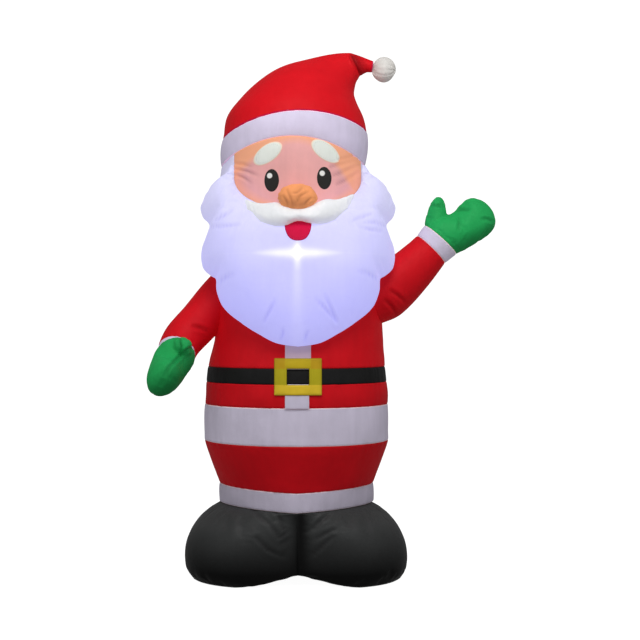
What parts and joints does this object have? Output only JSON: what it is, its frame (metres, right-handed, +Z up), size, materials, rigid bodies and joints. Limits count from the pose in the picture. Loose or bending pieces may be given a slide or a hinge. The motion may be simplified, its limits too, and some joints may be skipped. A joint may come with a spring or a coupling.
{
  "type": "inflatable santa",
  "caption": "Air-filled garden figure of a bearded man in a belted red suit and bent hat, standing on two round boots and waving one mittened hand.",
  "frame": {"origin": "on the floor under the soles, in the middle of the whole figure's width and depth", "axes": "+Z up, the figure faces -Y, its raised left arm is on the +X side"},
  "size_m": [0.777, 0.449, 1.2023],
  "materials": {
    "red_cloth": "thin woven polyester, slight sheen",
    "white_cloth": "thin woven polyester, slight sheen",
    "black_cloth": "thin woven polyester, slight sheen",
    "green_cloth": "thin woven polyester, slight sheen",
    "pink_cloth": "thin woven polyester, slight sheen",
    "orange_cloth": "thin woven polyester, slight sheen",
    "yellow_cloth": "thin woven polyester, slight sheen",
    "crimson_cloth": "thin woven polyester, slight sheen"
  },
  "bodies": {
    "root": {"hat": "red_cloth", "hat_band": "white_cloth", "pompom": "white_cloth", "face": "pink_cloth", "hair": "white_cloth", "left_brow": "white_cloth", "right_brow": "white_cloth", "left_eye": "black_cloth", "right_eye": "black_cloth", "nose": "orange_cloth", "moustache": "white_cloth", "mouth": "crimson_cloth", "beard": "white_cloth", "coat": "red_cloth", "placket_upper": "white_cloth", "placket_lower": "white_cloth", "belt": "black_cloth", "buckle": "yellow_cloth", "coat_skirt": "red_cloth", "coat_hem": "white_cloth", "trousers": "red_cloth", "boot_cuff": "white_cloth", "left_boot": "black_cloth", "right_boot": "black_cloth", "left_sleeve": "red_cloth", "left_cuff": "white_cloth", "left_mitten": "green_cloth", "right_sleeve": "red_cloth", "right_cuff": "white_cloth", "right_mitten": "green_cloth"}
  },
  "joints": []
}
